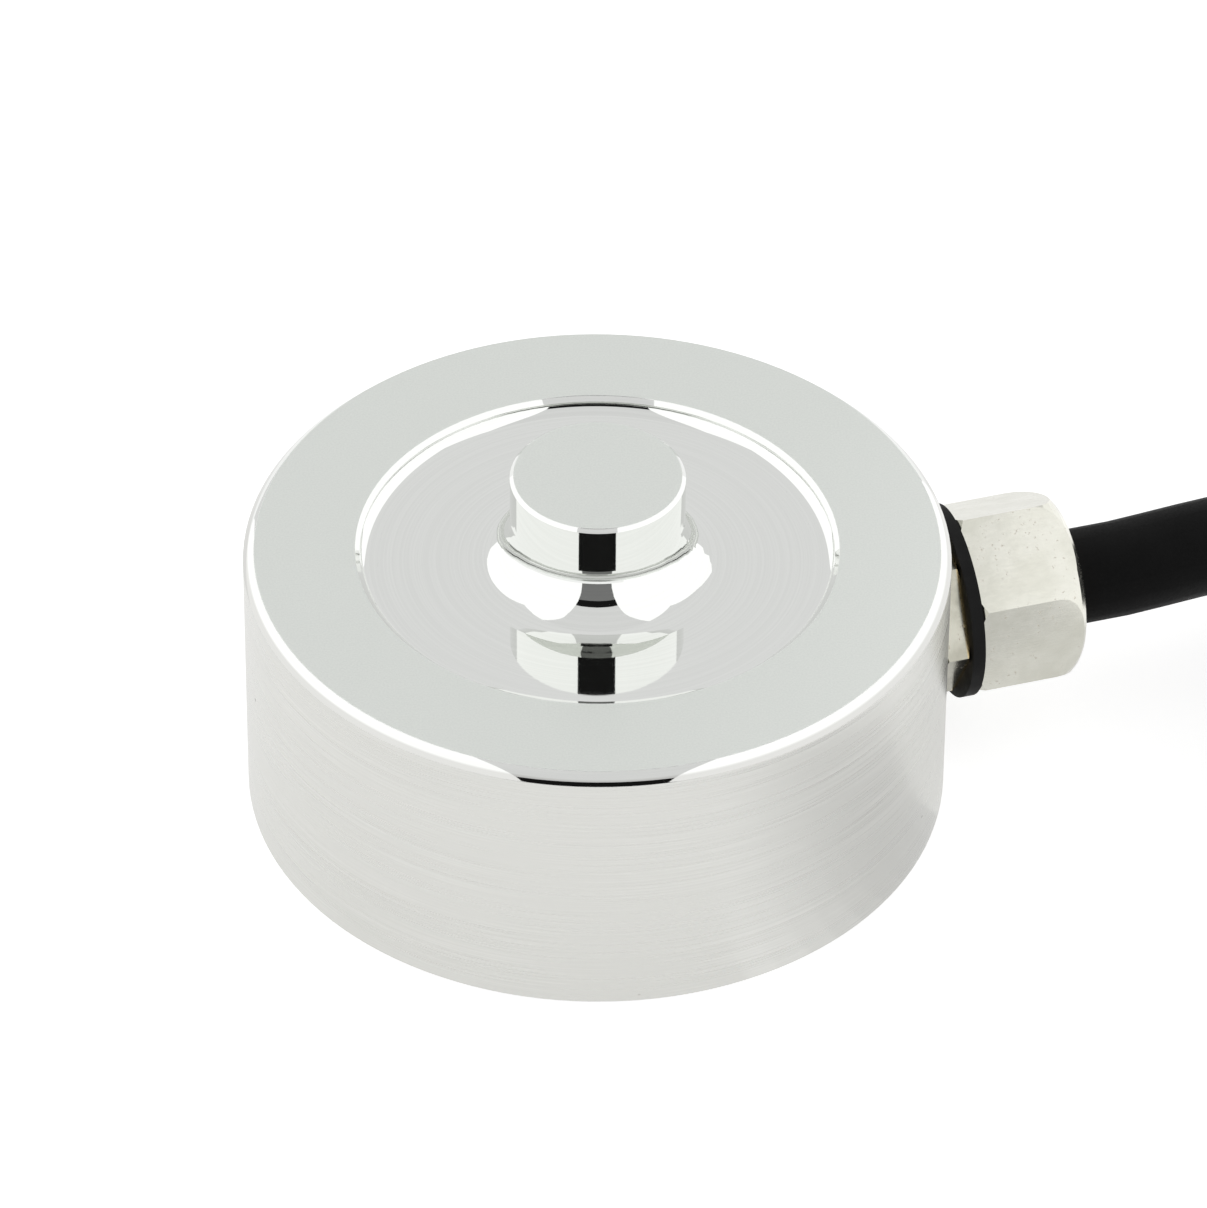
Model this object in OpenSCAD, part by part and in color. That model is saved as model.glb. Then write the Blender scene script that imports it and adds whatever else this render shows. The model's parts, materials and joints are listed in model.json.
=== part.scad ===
// Compression load cell: a low turned steel body whose top is a grooved
// diaphragm with a raised load button, and a cable gland in its side.
// The origin is the centre of the base face and +Z points up, out of the button.

/* [Body] */
// Outer diameter of the body
body_d = 38; // [36:0.5:44]
// Height of the flat rim above the base
body_h = 16; // [15.5:0.25:20]
// Chamfer on the upper rim
top_chamfer = 0.6; // [0.3:0.05:0.9]
// Chamfer on the lower rim
base_chamfer = 0.35; // [0.2:0.05:0.6]

/* [Diaphragm groove] */
// Width of the flat rim outside the groove
rim_w = 6.25; // [5.5:0.05:7]
// Depth of the groove below the rim
groove_depth = 0.9; // [0.6:0.05:1.2]
// Chamfer on the outer edge of the groove
groove_chamfer = 0.25; // [0.1:0.05:0.4]
// Thickness of the diaphragm under the groove
diaphragm_t = 3; // [2.5:0.1:3.2]

/* [Load button] */
// Diameter of the load button
button_d = 9.4; // [9:0.1:11]
// Height of the button's straight side
button_h = 2.8; // [2:0.1:4]
// Chamfer on the upper edge of the button
button_chamfer = 0.2; // [0.1:0.05:0.4]
// Step from the button in to its neck
neck_step = 0.4; // [0.2:0.05:0.6]
// Radius of the hollow fillet from the neck to the groove floor
hub_fillet = 3; // [2.5:0.1:3.3]

/* [Cavity] */
// Thickness of the wall round the upper chamber, under the diaphragm
wall_t = 6.4; // [6:0.1:6.8]
// Fillet where the chamber wall meets the diaphragm
chamber_fillet = 0.8; // [0.4:0.1:1.2]
// Width of the ledge that carries the terminal board
board_ledge = 1; // [0.7:0.1:1.1]
// Clearance between the terminal board and the cable's crimp ring above it
board_gap = 0.2; // [0.1:0.05:0.4]
// Width of the step that the bottom cover seats on
cover_step = 0.7; // [0.5:0.1:0.9]
// Thickness of the bottom cover
cover_t = 1; // [0.8:0.1:1.2]
// How far the cover lies above the base face
cover_recess = 0.3; // [0.2:0.05:0.5]
// Width of the bead of sealant round the cover
sealant_w = 0.35; // [0.25:0.05:0.45]

/* [Mounting holes] */
// Number of threaded mounting holes in the base
mount_count = 3; // [2:1:3]
// Distance of the mounting holes' axes in from the side of the body
mount_inset = 2.5; // [2.2:0.1:2.7]
// Diameter of a mounting hole
mount_d = 2.5; // [2:0.1:2.7]
// Depth of a mounting hole
mount_depth = 5; // [4:0.25:6]

/* [Cable gland] */
// Direction of the gland round the body, from the +X axis
gland_az = 17; // [0:1:40]
// Height of the gland's axis above the base
gland_z = 7.5; // [7.2:0.1:7.8]
// Diameter of the thread that screws into the body
gland_thread_d = 8; // [7.6:0.1:8.2]
// Running clearance of both gland threads, on the radius
thread_fit = 0.03; // [0.02:0.01:0.06]
// Depth of the flat seat for the gland in the side of the body
seat_depth = 0.65; // [0.5:0.05:1]
// How far the corners of the nipple's hexagon stand out past its thread
nipple_lip = 1; // [0.8:0.05:1.2]
// Clearance of that hexagon in its seat, on the radius
seat_fit = 0.15; // [0.1:0.05:0.4]
// Thickness of the nipple's hexagon
nipple_hex_t = 1.4; // [1:0.1:1.8]
// Diameter of the thread that carries the nut
nut_thread_d = 8.2; // [7.8:0.1:8.4]
// Length of the thread that carries the nut, beyond the washer
nut_thread_l = 1.8; // [1.2:0.1:2.4]
// Thickness of the rubber washer between nipple and nut
washer_t = 0.7; // [0.5:0.05:0.9]
// How far the washer's edge lies inside the nut's corners
washer_inset = 0.15; // [0:0.05:0.4]
// Wall of the nut from its thread to its corners
nut_wall = 1.4; // [1.3:0.05:1.8]
// Length of the nut
nut_l = 6.3; // [5.8:0.1:8]
// Length of the domed end of the nut
nut_dome = 1.9; // [1.2:0.1:2.2]
// Thickness of the nut's end wall round the cable
nut_end_t = 1.5; // [1:0.1:1.8]
// Thickness of the thrust ring behind the nut's end wall
thrust_t = 0.4; // [0.3:0.05:0.6]

/* [Cable] */
// Outer diameter of the cable
cable_d = 5.3; // [5:0.05:5.4]
// Clearance of the metal bores round the cable, on the radius
cable_fit = 0.1; // [0.05:0.01:0.15]
// Wall of the crimp ring that stops the cable inside the body
crimp_t = 0.65; // [0.5:0.05:0.8]
// Length of the crimp ring
crimp_l = 0.9; // [0.6:0.1:1.2]
// Diameter of one insulated core
core_d = 1.2; // [1:0.05:1.3]
// Diameter of the stranded copper in a core and of the drain wire
strand_d = 0.6; // [0.4:0.05:0.7]
// Length of the shrink sleeve at the far end of the cable
sleeve_l = 18; // [14:1:24]
// Wall of the shrink sleeve
sleeve_t = 0.35; // [0.25:0.05:0.5]
// Length of the bared cores beyond the sleeve
core_l = 27; // [24:1:36]
// Length of the tinned tip of a core
tip_l = 5; // [3:0.5:8]

/* [Gauges and board] */
// Thickness of the terminal board
board_t = 1; // [0.8:0.1:1.2]
// Clearance of the board in its chamber, on the radius
board_fit = 0.15; // [0.1:0.01:0.2]
// Diameter of the hole in the middle of the board
board_hole_d = 9; // [8:0.25:10]
// Distance of the gauge films in from the chamber's wall
gauge_inset = 1.6; // [1.2:0.1:1.8]
// Length of a gauge's film, round the ring
gauge_l = 5.2; // [4.8:0.1:5.6]
// Width of a gauge's film, across the ring
gauge_w = 4; // [3.8:0.1:4.2]
// Thickness of the gauge film
film_t = 0.12; // [0.1:0.01:0.16]
// Thickness of the metal foil on the film
foil_t = 0.06; // [0.05:0.01:0.08]
// Thickness of a solder pad on the board
pad_t = 0.1; // [0.08:0.01:0.14]
// Diameter of a fine gauge lead
lead_d = 0.3; // [0.2:0.02:0.34]

/* [Hidden] */

$fn = 96;
body_r = body_d / 2;
groove_r = body_r - rim_w;
groove_z = body_h - groove_depth;
button_r = button_d / 2;
neck_r = button_r - neck_step;
neck_z = groove_z + hub_fillet;
button_top = neck_z + button_h;
chamber_r = body_r - wall_t;
chamber_top = groove_z - diaphragm_t;
board_seat_r = chamber_r + board_ledge;
ledge_z = gland_z - cable_d / 2 - crimp_t - board_gap;
cover_seat_r = board_seat_r + cover_step;
cover_seat_z = cover_recess + cover_t;
cover_r = cover_seat_r - sealant_w;
mount_r = body_r - mount_inset;
mount_first = gland_az + 180 / mount_count;

gland_thread_r = gland_thread_d / 2;
nut_thread_r = nut_thread_d / 2;
cable_r = cable_d / 2;
cable_bore_r = cable_r + cable_fit;
seat_x = body_r - seat_depth;
hex_r = gland_thread_r + nipple_lip;
seat_r = hex_r + seat_fit;
nipple_in = board_seat_r + 0.1;
nipple_face = seat_x + nipple_hex_t;
nut_face = nipple_face + washer_t;
nipple_end = nut_face + nut_thread_l;
nut_end = nut_face + nut_l;
nut_r = nut_thread_r + nut_wall;
thrust_end = nut_end - nut_end_t;
jacket_stub = 0.4;
crimp_in = nipple_in - crimp_l;
jacket_in = crimp_in - jacket_stub;

board_r = board_seat_r - board_fit;
board_top = ledge_z;
board_z = board_top - board_t;
pad_top = board_top + pad_t;
gauge_az = [for (k = [0:3]) gland_az + 45 + 90 * k];
foil_z = chamber_top - film_t - foil_t;
gauge_r = chamber_r - gauge_inset - gauge_w / 2;
core_r = core_d / 2;
strand_r = strand_d / 2;

// Solder pads, beads of solder and wires inside the body
pad_r = 0.55;
joint_r = 0.35;
joint_h = 0.25;
cable_pad_inset = 4;
cable_pad_r = chamber_r - cable_pad_inset;
cable_pad_az = [-22, -11, 11, 22, 0];
wire_side = 1.1;
wire_up = 0.6;
wire_down = -0.8;
wire_r = 0.42;
wire_level = 0.5;
wire_foot = 0.4;

// Foil pattern of a gauge, and the chip resistors
grid_lines = 6;
grid_pitch = 0.34;
grid_line_w = 0.2;
grid_l = 2.2;
grid_x = -0.5;
tab_w = 0.9;
tab_x = 1.3;
tab_y = (grid_lines - 1) * grid_pitch / 2 + tab_w / 2;
resistor_r = 9;
cap_l = 0.5;

// Bevels and fits of the gland
hex_bevel = 0.3;
nipple_mouth = 0.6;
nut_lip = 0.9;
nut_bevel = 0.3;
sleeve_fit = 0.1;

// The free cable leaves the gland here. Its route is given from this point:
// forward, sideways and how much of the drop to the surface is still to come.
cable_exit = [nut_end * cos(gland_az), nut_end * sin(gland_az)];
lead_route = [[0, 0, 1], [3, 0.917, 1], [7, 2.5, 1], [12, 4.6, 0.95], [13.8, 5.36, 0.9]];
lead_stop = lead_route[len(lead_route) - 1];
lead_gap = 0.48;
coil_bearing = -35.56;
coil_mid_r = 5.15 * cable_d;
coil_half_w = 9.3;
coil_outer = coil_mid_r + coil_half_w;
coil_reach = coil_outer + cable_r + lead_gap;
coil_centre = [lead_stop[0] + coil_reach * cos(coil_bearing),
    lead_stop[1] + coil_reach * sin(coil_bearing)];
coil_layers = 4;
coil_h = coil_layers * cable_d;
coil_round = 2.4;
tie_w = 3.6;
tie_t = 0.5;
tie_fit = 0.12;
coil_z = tie_t + tie_fit;
// Beyond the coil: angle round it, how far clear of it, and the drop still to come
tail_route = [[61.3, 0.25, 0.79], [54.3, 2.55, 0.645], [47.2, 4.15, 0.49], [40.1, 5, 0.34],
    [32.9, 5.1, 0.205], [25.8, 4.45, 0.095], [18.7, 3.05, 0.02]];
tail_straight = 5;
tail_z = cable_r + sleeve_t;
tail_drop = coil_z + coil_h - cable_r - tail_z;

// The far end: the shrink sleeve, then bared cores that fan out and lie down. Each step is
// how far a core has come, how much of its spread, and how much of its height is left.
sleeve_step = 9;
bundle_r = 2.1;
core_offset = 0.75;
core_steps = [[0, 0, 1], [0.12, 0, 1], [0.3, 0.12, 0.85], [0.5, 0.36, 0.45], [0.68, 0.62, 0.12],
    [0.84, 0.84, 0], [1, 1, 0]];

function lead_point(p) =
    [cable_exit[0] + p[0], cable_exit[1] + p[1], cable_r + p[2] * (gland_z - cable_r)];
function coil_point(a, r, z) = [cable_exit[0] + coil_centre[0] + r * cos(a),
    cable_exit[1] + coil_centre[1] + r * sin(a), z];
function tail_point(p) = coil_point(p[0], coil_outer + cable_r + p[1], tail_z + p[2] * tail_drop);
tail_curve = [for (p = tail_route) tail_point(p)];
tail_stop = tail_curve[len(tail_curve) - 1];
tail_end = [tail_stop[0], tail_stop[1] - tail_straight, tail_z];

function unit(v) = v / norm(v);
function along(points, i) = unit(points[min(i + 1, len(points) - 1)] - points[max(i - 1, 0)]);
function ring(centre, t, r, sides, up) =
    let (side = unit(cross(t, up)), top = cross(side, t))
    [for (k = [0:sides - 1]) centre + r * (cos(360 * k / sides) * side + sin(360 * k / sides) * top)];

// A round tube swept along a list of points, as one closed solid.
module tube(points, r, sides = 10, up = [0, 0, 1]) {
    n = len(points);
    rings = [for (i = [0:n - 1]) each ring(points[i], along(points, i), r, sides, up)];
    walls = [for (i = [0:n - 2], k = [0:sides - 1]) let (a = i * sides, k2 = (k + 1) % sides)
        [a + k, a + k2, a + sides + k2, a + sides + k]];
    start = [[for (k = [sides - 1:-1:0]) k]];
    end = [[for (k = [0:sides - 1]) (n - 1) * sides + k]];
    polyhedron(rings, concat(walls, start, end), convexity = 6);
}

// Places its children with +Z along the gland's axis, from the body's axis outwards.
module on_gland_axis(x = 0) {
    rotate([0, 0, gland_az]) translate([x, 0, gland_z]) rotate([0, 90, 0]) children();
}

// A plain ring between two distances along the gland's axis.
module gland_tube(x0, x1, r_out, r_in) {
    on_gland_axis(x0) difference() {
        cylinder(h = x1 - x0, r = r_out);
        translate([0, 0, -1]) cylinder(h = x1 - x0 + 2, r = r_in);
    }
}

// Outline of the turned body: the half section to the right of its axis.
module body_section() {
    difference() {
        polygon([[0, 0], [body_r - base_chamfer, 0], [body_r, base_chamfer], [body_r, body_h - top_chamfer],
            [body_r - top_chamfer, body_h], [groove_r + groove_chamfer, body_h],
            [groove_r, body_h - groove_chamfer], [groove_r, groove_z], [neck_r + hub_fillet, groove_z],
            [neck_r + hub_fillet, neck_z], [button_r, neck_z], [button_r, button_top - button_chamfer],
            [button_r - button_chamfer, button_top], [0, button_top]]);
        translate([neck_r + hub_fillet, neck_z]) circle(r = hub_fillet);
        cavity_section();
    }
    translate([neck_r, neck_z]) square([neck_step, button_h - button_chamfer]);
}

// Outline of what is bored out from below: cover seat, board chamber and upper chamber.
module cavity_section() {
    translate([0, -1]) square([cover_seat_r, cover_seat_z + 1]);
    square([board_seat_r, ledge_z]);
    square([chamber_r, chamber_top - chamber_fillet]);
    square([chamber_r - chamber_fillet, chamber_top]);
    intersection() {
        translate([chamber_r - chamber_fillet, chamber_top - chamber_fillet]) circle(r = chamber_fillet);
        square([chamber_r, chamber_top]);
    }
}

module mount_holes() {
    for (k = [0:mount_count - 1])
        rotate([0, 0, mount_first + k * 360 / mount_count])
            translate([mount_r, 0, -1]) cylinder(h = mount_depth + 1, d = mount_d);
}

module body() {
    color("gainsboro") difference() {
        rotate_extrude() body_section();
        mount_holes();
        on_gland_axis(chamber_r - 2) cylinder(h = body_r, r = gland_thread_r + thread_fit);
        on_gland_axis(seat_x) cylinder(h = body_r, r = seat_r);
    }
}

module bottom_cover() {
    color("silver") translate([0, 0, cover_recess]) cylinder(h = cover_t, r = cover_r);
}

module cover_sealant() {
    color("dimgray") translate([0, 0, cover_recess]) difference() {
        cylinder(h = cover_t, r = cover_seat_r);
        translate([0, 0, -1]) cylinder(h = cover_t + 2, r = cover_r);
    }
}

module terminal_board() {
    color("darkgreen") translate([0, 0, board_z]) difference() {
        cylinder(h = board_t, r = board_r);
        translate([0, 0, -1]) cylinder(h = board_t + 2, d = board_hole_d);
    }
}

module round_pads(places) {
    for (p = places) translate([p[0], p[1], board_top]) cylinder(h = pad_t, r = pad_r, $fn = 24);
}

function gauge_tab(k, side) =
    let (x = gauge_r + tab_x, y = side * tab_y)
    [x * cos(gauge_az[k]) - y * sin(gauge_az[k]), x * sin(gauge_az[k]) + y * cos(gauge_az[k])];
gauge_tabs = [for (k = [0:3], side = [-1, 1]) gauge_tab(k, side)];

// The cable's own pads lie in an arc in front of the gland.
function cable_pad(k) = cable_pad_r * [cos(gland_az + cable_pad_az[k]), sin(gland_az + cable_pad_az[k])];

module gauge_pads() {
    color("gold") round_pads(gauge_tabs);
}

module cable_pads() {
    color("gold") round_pads([for (k = [0:4]) cable_pad(k)]);
}

// A chip resistor on the lower face of the board: its ceramic body between two metal end caps.

module chip_resistor(az, l, w, h) {
    rotate([0, 0, gland_az + az]) translate([resistor_r, 0, board_z - h / 2]) {
        cube([w, l - 2 * cap_l, h], center = true);
        for (side = [-1, 1])
            translate([0, side * (l - cap_l) / 2, 0]) cube([w, cap_l, h], center = true);
    }
}

module zero_resistor() {
    color("black") chip_resistor(120, 3.2, 1.6, 0.6);
}

module span_resistor() {
    color("black") chip_resistor(180, 3.2, 1.6, 0.6);
}

module temperature_resistor() {
    color("brown") chip_resistor(240, 4.5, 2, 0.9);
}

module gauge_film(k) {
    color("peru") rotate([0, 0, gauge_az[k]])
        translate([gauge_r - gauge_w / 2, -gauge_l / 2, chamber_top - film_t])
            cube([gauge_w, gauge_l, film_t]);
}

// Foil of one gauge: a folded grid of radial lines, and a solder tab at each end of it.

module gauge_foil(k) {
    y0 = -(grid_lines - 1) * grid_pitch / 2;
    color("goldenrod") rotate([0, 0, gauge_az[k]]) translate([gauge_r, 0, foil_z]) linear_extrude(foil_t) {
        for (i = [0:grid_lines - 1])
            translate([grid_x, y0 + i * grid_pitch]) square([grid_l, grid_line_w], center = true);
        for (i = [0:grid_lines - 2])
            let (end = (i % 2 == 0 ? -1 : 1) * (grid_l - grid_line_w) / 2)
                translate([grid_x + end, y0 + (i + 0.5) * grid_pitch])
                    square([grid_line_w, grid_pitch], center = true);
        for (side = [-1, 1]) {
            translate([tab_x, side * tab_y]) square([tab_w, tab_w], center = true);
            translate([(grid_x + tab_x) / 2, side * y0])
                square([tab_x - grid_x, grid_line_w], center = true);
        }
    }
}

module strain_gauge_1() { gauge_film(0); }
module strain_gauge_2() { gauge_film(1); }
module strain_gauge_3() { gauge_film(2); }
module strain_gauge_4() { gauge_film(3); }
module gauge_grid_1() { gauge_foil(0); }
module gauge_grid_2() { gauge_foil(1); }
module gauge_grid_3() { gauge_foil(2); }
module gauge_grid_4() { gauge_foil(3); }

// Fine leads from each gauge tab straight down to its pad on the board.

module gauge_leads() {
    color("orange") for (p = gauge_tabs)
        translate([p[0], p[1], pad_top + joint_h])
            cylinder(h = foil_z - pad_top - 2 * joint_h, d = lead_d, $fn = 16);
}

// A bead of solder at both ends of each fine lead.
module solder_joints() {
    color("silver") for (p = gauge_tabs, z = [pad_top, foil_z - joint_h])
        translate([p[0], p[1], z]) cylinder(h = joint_h, r = joint_r, $fn = 16);
}

// One wire from the cable's inner end to its pad: level at first, then bending down
// on a quarter of an ellipse and straight on to the pad. Sideways and height are taken
// from the gland's axis.

module inner_wire(k, side, height, r) {
    pad = cable_pad(k);
    out = [cos(gland_az), sin(gland_az), 0];
    start = [jacket_in * out[0] - side * out[1], jacket_in * out[1] + side * out[0], gland_z + height];
    bend_start = start - wire_level * out;
    foot = pad_top + wire_foot;
    steps = 6;
    bend = [for (i = [0:steps]) let (a = 90 * i / steps)
        [bend_start[0] + (pad[0] - bend_start[0]) * sin(a),
         bend_start[1] + (pad[1] - bend_start[1]) * sin(a),
         foot + (start[2] - foot) * cos(a)]];
    tube(concat([start], bend, [[pad[0], pad[1], pad_top]]), r, 8, [out[1], -out[0], 0]);
}

module inner_wire_red() {
    color("red") inner_wire(1, -wire_side, wire_up, wire_r);
}

module inner_wire_black() {
    color("dimgray") inner_wire(0, -wire_side, wire_down, wire_r);
}

module inner_wire_green() {
    color("green") inner_wire(2, wire_side, wire_up, wire_r);
}

module inner_wire_white() {
    color("white") inner_wire(3, wire_side, wire_down, wire_r);
}

module inner_shield_wire() {
    color("silver") inner_wire(4, 0, 0, strand_r);
}

// Hexagonal prism between two distances along the gland's axis.
module hexagon(x0, x1, r, turn) {
    on_gland_axis(x0) rotate([0, 0, turn]) cylinder(h = x1 - x0, r = r, $fn = 6);
}

module gland_nipple() {
    color("silver") difference() {
        union() {
            on_gland_axis(nipple_in) cylinder(h = nipple_face - nipple_in, r = gland_thread_r);
            intersection() {
                hexagon(seat_x, nipple_face, hex_r, 30);
                on_gland_axis(seat_x) rotate_extrude()
                    polygon([[0, 0], [hex_r - hex_bevel, 0], [hex_r, hex_bevel / 2],
                        [hex_r, nipple_hex_t - hex_bevel / 2], [hex_r - hex_bevel, nipple_hex_t],
                        [0, nipple_hex_t]]);
            }
            on_gland_axis(seat_x) cylinder(h = nipple_end - seat_x, r = nut_thread_r - thread_fit);
        }
        on_gland_axis(nipple_in - 1) cylinder(h = nipple_end, r = cable_bore_r);
        on_gland_axis(nipple_end - nipple_mouth) rotate_extrude()
            polygon([[0, 0], [cable_bore_r, 0], [cable_bore_r + nipple_mouth, nipple_mouth + 0.01],
                [0, nipple_mouth + 0.01]]);
    }
}

module gland_washer() {
    color("black") gland_tube(nipple_face, nut_face, nut_r - washer_inset, nut_thread_r);
}

// Half section of the nut's outside: a small bevel, a straight side and a dome.

module nut_envelope() {
    end_r = cable_r + nut_lip;
    side_l = nut_l - nut_dome;
    dome = [for (a = [0:15:90]) [end_r + (nut_r - end_r) * cos(a), side_l + nut_dome * sin(a)]];
    polygon(concat([[0, 0], [nut_r - nut_bevel, 0], [nut_r, nut_bevel]], dome, [[0, nut_l]]));
}

module gland_nut() {
    color("silver") difference() {
        intersection() {
            hexagon(nut_face, nut_end, nut_r, 0);
            on_gland_axis(nut_face) rotate_extrude() nut_envelope();
        }
        on_gland_axis(nut_face - 1) cylinder(h = thrust_end - nut_face + 1, r = nut_thread_r);
        on_gland_axis(nut_face) cylinder(h = nut_l + 1, r = cable_bore_r);
    }
}

module seal_sleeve() {
    color("black") gland_tube(nipple_end, thrust_end - thrust_t, nut_thread_r - sleeve_fit, cable_r);
}

module thrust_ring() {
    color("khaki") gland_tube(thrust_end - thrust_t, thrust_end, nut_thread_r - sleeve_fit, cable_bore_r);
}

module crimp_ring() {
    color("silver") gland_tube(crimp_in, nipple_in, cable_r + crimp_t, cable_r);
}

module cable_in_gland() {
    color("black") on_gland_axis(jacket_in) cylinder(h = nut_end - jacket_in, r = cable_r);
}

module cable_lead() {
    color("black") tube([for (p = lead_route) lead_point(p)], cable_r);
}

// Outer shape of the wound cable: a ring with rounded edges, which lies on its ties.
module cable_coil() {
    inner = coil_mid_r - coil_half_w;
    outer = coil_outer;
    color("black") translate(coil_point(0, 0, coil_z)) rotate_extrude() {
        translate([inner + coil_round, 0]) square([outer - inner - 2 * coil_round, coil_h]);
        translate([inner, coil_round]) square([outer - inner, coil_h - 2 * coil_round]);
        for (x = [inner + coil_round, outer - coil_round], z = [coil_round, coil_h - coil_round])
            translate([x, z]) circle(r = coil_round);
    }
}

// A flat tie that goes right round the section of the coil.
module coil_tie(angle) {
    x0 = coil_mid_r - coil_half_w - tie_fit;
    w = 2 * (coil_half_w + tie_fit);
    h = coil_h + 2 * tie_fit;
    translate(coil_point(0, 0, 0)) rotate([0, 0, angle]) translate([0, tie_w / 2, 0]) rotate([90, 0, 0])
        linear_extrude(tie_w) difference() {
            translate([x0 - tie_t, 0]) square([w + 2 * tie_t, h + 2 * tie_t]);
            translate([x0, tie_t]) square([w, h]);
        }
}

module coil_tie_left() {
    color("dimgray") coil_tie(-150);
}

module coil_tie_right() {
    color("dimgray") coil_tie(-60);
}

module cable_tail() {
    color("black") tube(concat(tail_curve, [tail_end]), cable_r);
}

// The far end lies along -Y from the end of the tail.
module at_tail() {
    translate(tail_end) rotate([90, 0, 0]) children();
}

module end_sleeve() {
    r = cable_r + sleeve_t;
    color("dimgray") at_tail() rotate_extrude()
        polygon([[0, 0], [r, 0], [r, sleeve_step], [bundle_r, sleeve_step + r - bundle_r],
            [bundle_r, sleeve_l], [0, sleeve_l]]);
}

function core_path(side, height, spread, l) =
    let (start = tail_end + [side, -sleeve_l, height], drop = start[2] - core_r)
    [for (s = core_steps) [start[0] + s[1] * spread, start[1] - s[0] * l, core_r + s[2] * drop]];

red_path = core_path(-core_offset, core_offset, -7.5, core_l - tip_l);
black_path = core_path(-core_offset, -core_offset, -11.5, core_l - tip_l);
green_path = core_path(core_offset, core_offset, -3, core_l - tip_l);
white_path = core_path(core_offset, -core_offset, 0.5, core_l - tip_l);
drain_path = core_path(0, 0, -6.5, core_l);

module core_red() {
    color("red") tube(red_path, core_r, 8);
}

module core_black() {
    color("dimgray") tube(black_path, core_r, 8);
}

module core_green() {
    color("green") tube(green_path, core_r, 8);
}

module core_white() {
    color("white") tube(white_path, core_r, 8);
}

module core_tips() {
    color("silver") for (path = [red_path, black_path, green_path, white_path]) {
        last = path[len(path) - 1];
        dir = along(path, len(path) - 1);
        tube([last, last + tip_l * [dir[0], dir[1], 0]], strand_r, 8);
    }
}

module drain_wire() {
    color("silver") tube(drain_path, strand_r, 8);
}

body();
bottom_cover();
cover_sealant();
terminal_board();
gauge_pads();
cable_pads();
zero_resistor();
span_resistor();
temperature_resistor();
strain_gauge_1();
strain_gauge_2();
strain_gauge_3();
strain_gauge_4();
gauge_grid_1();
gauge_grid_2();
gauge_grid_3();
gauge_grid_4();
gauge_leads();
solder_joints();
inner_wire_red();
inner_wire_black();
inner_wire_green();
inner_wire_white();
inner_shield_wire();
gland_nipple();
gland_washer();
gland_nut();
seal_sleeve();
thrust_ring();
crimp_ring();
cable_in_gland();
cable_lead();
cable_coil();
coil_tie_left();
coil_tie_right();
cable_tail();
end_sleeve();
core_red();
core_black();
core_green();
core_white();
core_tips();
drain_wire();
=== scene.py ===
import json
import math

import bmesh
import bpy
from mathutils import Matrix, Vector


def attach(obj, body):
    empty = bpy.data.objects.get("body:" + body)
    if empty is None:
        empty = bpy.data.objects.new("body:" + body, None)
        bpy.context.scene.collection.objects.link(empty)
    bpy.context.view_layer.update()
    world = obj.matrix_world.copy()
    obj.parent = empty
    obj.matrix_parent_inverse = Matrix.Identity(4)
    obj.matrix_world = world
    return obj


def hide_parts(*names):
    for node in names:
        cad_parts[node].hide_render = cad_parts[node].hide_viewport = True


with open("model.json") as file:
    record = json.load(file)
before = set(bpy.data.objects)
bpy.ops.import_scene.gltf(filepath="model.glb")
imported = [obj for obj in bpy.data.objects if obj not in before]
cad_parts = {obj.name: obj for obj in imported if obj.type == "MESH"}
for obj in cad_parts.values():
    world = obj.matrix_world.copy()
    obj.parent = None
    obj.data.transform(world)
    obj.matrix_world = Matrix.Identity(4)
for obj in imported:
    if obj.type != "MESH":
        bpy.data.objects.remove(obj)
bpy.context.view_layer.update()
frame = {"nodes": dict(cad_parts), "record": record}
nodes = frame["nodes"]

MM = 0.001

# Camera
PHOTO_LONG_SIDE = 1208
FOCAL_PX = 8831
SENSOR = 36.0
CAMERA_PLACE = (0.35, -365.18, 316.87)
CAMERA_DOWN = 39.86
CAMERA_ROLL = 0.42

# Body
TOP_Z = 16.0
BODY_R = 19.0
RIM_INNER_R = 12.75
GROOVE_FLOOR = 15.1
GROOVE_WALL_TOP = 15.58
GROOVE_FILLET_R = 1.2
FILLET_STEPS = 12
FILLET_SIDES = 240
SUNK = 0.04
CHAMFER = 0.6
GROOVE_Z = 15.1
NECK_Z = 18.1
BUTTON_TOP = 20.9
BUTTON_R = 4.7

# Gland
GLAND_AZ = 17.0
GLAND_Z = 7.5
NIPPLE_HEX = (18.35, 19.75)
NUT_START = 20.45
NUT_END = 26.75

# Cable
CABLE_R = 2.65
EXIT = (NUT_END * math.cos(math.radians(GLAND_AZ)), NUT_END * math.sin(math.radians(GLAND_AZ)), GLAND_Z)
LEAD_ROUTE = [(0, 0, 1), (3, 0.917, 1), (7, 2.5, 1), (12, 4.6, 0.95), (13.8, 5.36, 0.9), (18.8, 7.5, 0.62),
              (23.6, 9.55, 0.33), (28, 11.43, 0.17)]
LEAD_STOP = (13.8, 5.36)
LEAD_GAP = 0.48
COIL_BEARING = math.radians(-35.56)
COIL_MID_R = 5.15 * 2 * CABLE_R
COIL_HALF_W = 9.3
COIL_EDGE = COIL_MID_R + COIL_HALF_W
COIL_REACH = COIL_EDGE + CABLE_R + LEAD_GAP
COIL_CENTRE = (EXIT[0] + LEAD_STOP[0] + COIL_REACH * math.cos(COIL_BEARING),
               EXIT[1] + LEAD_STOP[1] + COIL_REACH * math.sin(COIL_BEARING))
COIL_Z = 0.62
COIL_LAYERS = 4
COIL_H = COIL_LAYERS * 2 * CABLE_R
COIL_TURNS = 10
COIL_OUTER = COIL_EDGE - CABLE_R
COIL_INNER = COIL_MID_R - COIL_HALF_W + CABLE_R
COIL_ENTRY = 113.5
COIL_RISE = 55.0
TURN_POINTS = 40
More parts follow.
